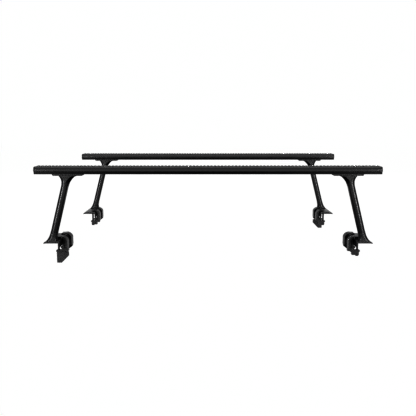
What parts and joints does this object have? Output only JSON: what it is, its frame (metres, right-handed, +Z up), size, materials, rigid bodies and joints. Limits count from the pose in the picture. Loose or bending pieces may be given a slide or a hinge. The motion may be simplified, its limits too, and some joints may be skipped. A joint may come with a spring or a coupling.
{
  "type": "truck bed ladder rack",
  "caption": "Truck bed ladder rack: ribbed crossbars on raked legs whose feet clamp to the bed rails with screw clamps.",
  "frame": {"origin": "middle of the rack, at the height of the screw covers' lower edge, 122 mm below the bed rail tops", "axes": "+X along the crossbars, +Y along the truck bed from the front bar to the rear bar, +Z up"},
  "size_m": [1.8, 1.16, 0.529],
  "materials": {
    "bar_paint": "satin black powder coat",
    "tube_paint": "satin black powder coat",
    "casting_paint": "fine textured black powder coat on a casting",
    "clamp_paint": "textured black powder coat",
    "sheet_paint": "matt black paint on sheet",
    "strip_rubber": "matt ribbed rubber",
    "pad_rubber": "matt rubber",
    "cap_plastic": "moulded black plastic",
    "black_screw": "black oxide",
    "zinc_steel": "zinc plated"
  },
  "bodies": {
    "front_bar": {"front_crossbar": "bar_paint", "front_end_caps": "cap_plastic", "front_rubber_strip": "strip_rubber"},
    "rear_bar": {"rear_crossbar": "bar_paint", "rear_end_caps": "cap_plastic", "rear_rubber_strip": "strip_rubber"},
    "front_left_leg": {"front_left_slide_plate": "casting_paint", "front_left_slot_nuts": "zinc_steel", "front_left_plate_screws": "black_screw", "front_left_leg_head": "casting_paint", "front_left_leg_tube": "tube_paint", "front_left_foot": "casting_paint", "front_left_foot_pad": "pad_rubber"},
    "front_left_clamp_1": {"front_left_clamp_1_frame": "clamp_paint", "front_left_screw_cover": "sheet_paint"},
    "front_left_clamp_1_pad": {"front_left_clamp_1_pad": "black_screw"},
    "front_left_clamp_1_screw": {"front_left_clamp_1_screw": "black_screw"},
    "front_left_clamp_2": {"front_left_clamp_2_frame": "clamp_paint"},
    "front_left_clamp_2_pad": {"front_left_clamp_2_pad": "black_screw"},
    "front_left_clamp_2_screw": {"front_left_clamp_2_screw": "black_screw"},
    "front_right_leg": {"front_right_slide_plate": "casting_paint", "front_right_slot_nuts": "zinc_steel", "front_right_plate_screws": "black_screw", "front_right_leg_head": "casting_paint", "front_right_leg_tube": "tube_paint", "front_right_foot": "casting_paint", "front_right_foot_pad": "pad_rubber"},
    "front_right_clamp_1": {"front_right_clamp_1_frame": "clamp_paint"},
    "front_right_clamp_1_pad": {"front_right_clamp_1_pad": "black_screw"},
    "front_right_clamp_1_screw": {"front_right_clamp_1_screw": "black_screw"},
    "front_right_clamp_2": {"front_right_clamp_2_frame": "clamp_paint"},
    "front_right_clamp_2_pad": {"front_right_clamp_2_pad": "black_screw"},
    "front_right_clamp_2_screw": {"front_right_clamp_2_screw": "black_screw"},
    "rear_left_leg": {"rear_left_slide_plate": "casting_paint", "rear_left_slot_nuts": "zinc_steel", "rear_left_plate_screws": "black_screw", "rear_left_leg_head": "casting_paint", "rear_left_leg_tube": "tube_paint", "rear_left_foot": "casting_paint", "rear_left_foot_pad": "pad_rubber"},
    "rear_left_clamp_1": {"rear_left_clamp_1_frame": "clamp_paint"},
    "rear_left_clamp_1_pad": {"rear_left_clamp_1_pad": "black_screw"},
    "rear_left_clamp_1_screw": {"rear_left_clamp_1_screw": "black_screw"},
    "rear_left_clamp_2": {"rear_left_clamp_2_frame": "clamp_paint"},
    "rear_left_clamp_2_pad": {"rear_left_clamp_2_pad": "black_screw"},
    "rear_left_clamp_2_screw": {"rear_left_clamp_2_screw": "black_screw"},
    "rear_right_leg": {"rear_right_slide_plate": "casting_paint", "rear_right_slot_nuts": "zinc_steel", "rear_right_plate_screws": "black_screw", "rear_right_leg_head": "casting_paint", "rear_right_leg_tube": "tube_paint", "rear_right_foot": "casting_paint", "rear_right_foot_pad": "pad_rubber"},
    "rear_right_clamp_1": {"rear_right_clamp_1_frame": "clamp_paint", "rear_right_screw_cover": "sheet_paint"},
    "rear_right_clamp_1_pad": {"rear_right_clamp_1_pad": "black_screw"},
    "rear_right_clamp_1_screw": {"rear_right_clamp_1_screw": "black_screw"},
    "rear_right_clamp_2": {"rear_right_clamp_2_frame": "clamp_paint"},
    "rear_right_clamp_2_pad": {"rear_right_clamp_2_pad": "black_screw"},
    "rear_right_clamp_2_screw": {"rear_right_clamp_2_screw": "black_screw"}
  },
  "joints": [
    {"name": "rear_bar_slide", "type": "slide", "parent": "front_bar", "child": "rear_bar", "axis": [0, 1, 0], "range_m": [-0.4, 0.3]},
    {"name": "front_left_leg_slide", "type": "slide", "parent": "front_bar", "child": "front_left_leg", "axis": [-1, 0, 0], "range_m": [-0.12, 0.06]},
    {"name": "front_left_clamp_1_slide", "type": "slide", "parent": "front_left_leg", "child": "front_left_clamp_1", "axis": [0, 1, 0], "range_m": [-0.004, 0.02]},
    {"name": "front_left_clamp_1_pad_travel", "type": "slide", "parent": "front_left_clamp_1", "child": "front_left_clamp_1_pad", "axis": [0, 0, 1], "range_m": [-0.0381, 0]},
    {"name": "front_left_clamp_1_screw_turn", "type": "hinge", "parent": "front_left_clamp_1_pad", "child": "front_left_clamp_1_screw", "pos_m": [-0.809, -0.493, 0.062], "axis": [0, 0, 1], "range_deg": [-8645, 5]},
    {"name": "front_left_clamp_2_slide", "type": "slide", "parent": "front_left_leg", "child": "front_left_clamp_2", "axis": [0, 1, 0], "range_m": [-0.02, 0.015]},
    {"name": "front_left_clamp_2_pad_travel", "type": "slide", "parent": "front_left_clamp_2", "child": "front_left_clamp_2_pad", "axis": [0, 0, 1], "range_m": [-0.0381, 0]},
    {"name": "front_left_clamp_2_screw_turn", "type": "hinge", "parent": "front_left_clamp_2_pad", "child": "front_left_clamp_2_screw", "pos_m": [-0.809, -0.401, 0.062], "axis": [0, 0, 1], "range_deg": [-8645, 5]},
    {"name": "front_right_leg_slide", "type": "slide", "parent": "front_bar", "child": "front_right_leg", "axis": [1, 0, 0], "range_m": [-0.12, 0.06]},
    {"name": "front_right_clamp_1_slide", "type": "slide", "parent": "front_right_leg", "child": "front_right_clamp_1", "axis": [0, 1, 0], "range_m": [-0.004, 0.02]},
    {"name": "front_right_clamp_1_pad_travel", "type": "slide", "parent": "front_right_clamp_1", "child": "front_right_clamp_1_pad", "axis": [0, 0, 1], "range_m": [-0.0381, 0]},
    {"name": "front_right_clamp_1_screw_turn", "type": "hinge", "parent": "front_right_clamp_1_pad", "child": "front_right_clamp_1_screw", "pos_m": [0.809, -0.493, 0.062], "axis": [0, 0, 1], "range_deg": [-8645, 5]},
    {"name": "front_right_clamp_2_slide", "type": "slide", "parent": "front_right_leg", "child": "front_right_clamp_2", "axis": [0, 1, 0], "range_m": [-0.02, 0.015]},
    {"name": "front_right_clamp_2_pad_travel", "type": "slide", "parent": "front_right_clamp_2", "child": "front_right_clamp_2_pad", "axis": [0, 0, 1], "range_m": [-0.0381, 0]},
    {"name": "front_right_clamp_2_screw_turn", "type": "hinge", "parent": "front_right_clamp_2_pad", "child": "front_right_clamp_2_screw", "pos_m": [0.809, -0.401, 0.062], "axis": [0, 0, 1], "range_deg": [-8645, 5]},
    {"name": "rear_left_leg_slide", "type": "slide", "parent": "rear_bar", "child": "rear_left_leg", "axis": [-1, 0, 0], "range_m": [-0.12, 0.06]},
    {"name": "rear_left_clamp_1_slide", "type": "slide", "parent": "rear_left_leg", "child": "rear_left_clamp_1", "axis": [0, -1, 0], "range_m": [-0.004, 0.02]},
    {"name": "rear_left_clamp_1_pad_travel", "type": "slide", "parent": "rear_left_clamp_1", "child": "rear_left_clamp_1_pad", "axis": [0, 0, 1], "range_m": [-0.0381, 0]},
    {"name": "rear_left_clamp_1_screw_turn", "type": "hinge", "parent": "rear_left_clamp_1_pad", "child": "rear_left_clamp_1_screw", "pos_m": [-0.809, 0.493, 0.062], "axis": [0, 0, 1], "range_deg": [-8645, 5]},
    {"name": "rear_left_clamp_2_slide", "type": "slide", "parent": "rear_left_leg", "child": "rear_left_clamp_2", "axis": [0, -1, 0], "range_m": [-0.02, 0.015]},
    {"name": "rear_left_clamp_2_pad_travel", "type": "slide", "parent": "rear_left_clamp_2", "child": "rear_left_clamp_2_pad", "axis": [0, 0, 1], "range_m": [-0.0381, 0]},
    {"name": "rear_left_clamp_2_screw_turn", "type": "hinge", "parent": "rear_left_clamp_2_pad", "child": "rear_left_clamp_2_screw", "pos_m": [-0.809, 0.401, 0.062], "axis": [0, 0, 1], "range_deg": [-8645, 5]},
    {"name": "rear_right_leg_slide", "type": "slide", "parent": "rear_bar", "child": "rear_right_leg", "axis": [1, 0, 0], "range_m": [-0.12, 0.06]},
    {"name": "rear_right_clamp_1_slide", "type": "slide", "parent": "rear_right_leg", "child": "rear_right_clamp_1", "axis": [0, -1, 0], "range_m": [-0.004, 0.02]},
    {"name": "rear_right_clamp_1_pad_travel", "type": "slide", "parent": "rear_right_clamp_1", "child": "rear_right_clamp_1_pad", "axis": [0, 0, 1], "range_m": [-0.0381, 0]},
    {"name": "rear_right_clamp_1_screw_turn", "type": "hinge", "parent": "rear_right_clamp_1_pad", "child": "rear_right_clamp_1_screw", "pos_m": [0.809, 0.493, 0.062], "axis": [0, 0, 1], "range_deg": [-8645, 5]},
    {"name": "rear_right_clamp_2_slide", "type": "slide", "parent": "rear_right_leg", "child": "rear_right_clamp_2", "axis": [0, -1, 0], "range_m": [-0.02, 0.015]},
    {"name": "rear_right_clamp_2_pad_travel", "type": "slide", "parent": "rear_right_clamp_2", "child": "rear_right_clamp_2_pad", "axis": [0, 0, 1], "range_m": [-0.0381, 0]},
    {"name": "rear_right_clamp_2_screw_turn", "type": "hinge", "parent": "rear_right_clamp_2_pad", "child": "rear_right_clamp_2_screw", "pos_m": [0.809, 0.401, 0.062], "axis": [0, 0, 1], "range_deg": [-8645, 5]}
  ],
  "couplings": [
    {"joint": "front_left_clamp_1_screw_turn", "follows": "front_left_clamp_1_pad_travel", "rad_per_m": 3957.9},
    {"joint": "front_left_clamp_2_screw_turn", "follows": "front_left_clamp_2_pad_travel", "rad_per_m": 3957.9},
    {"joint": "front_right_clamp_1_screw_turn", "follows": "front_right_clamp_1_pad_travel", "rad_per_m": 3957.9},
    {"joint": "front_right_clamp_2_screw_turn", "follows": "front_right_clamp_2_pad_travel", "rad_per_m": 3957.9},
    {"joint": "rear_left_clamp_1_screw_turn", "follows": "rear_left_clamp_1_pad_travel", "rad_per_m": 3957.9},
    {"joint": "rear_left_clamp_2_screw_turn", "follows": "rear_left_clamp_2_pad_travel", "rad_per_m": 3957.9},
    {"joint": "rear_right_clamp_1_screw_turn", "follows": "rear_right_clamp_1_pad_travel", "rad_per_m": 3957.9},
    {"joint": "rear_right_clamp_2_screw_turn", "follows": "rear_right_clamp_2_pad_travel", "rad_per_m": 3957.9}
  ]
}
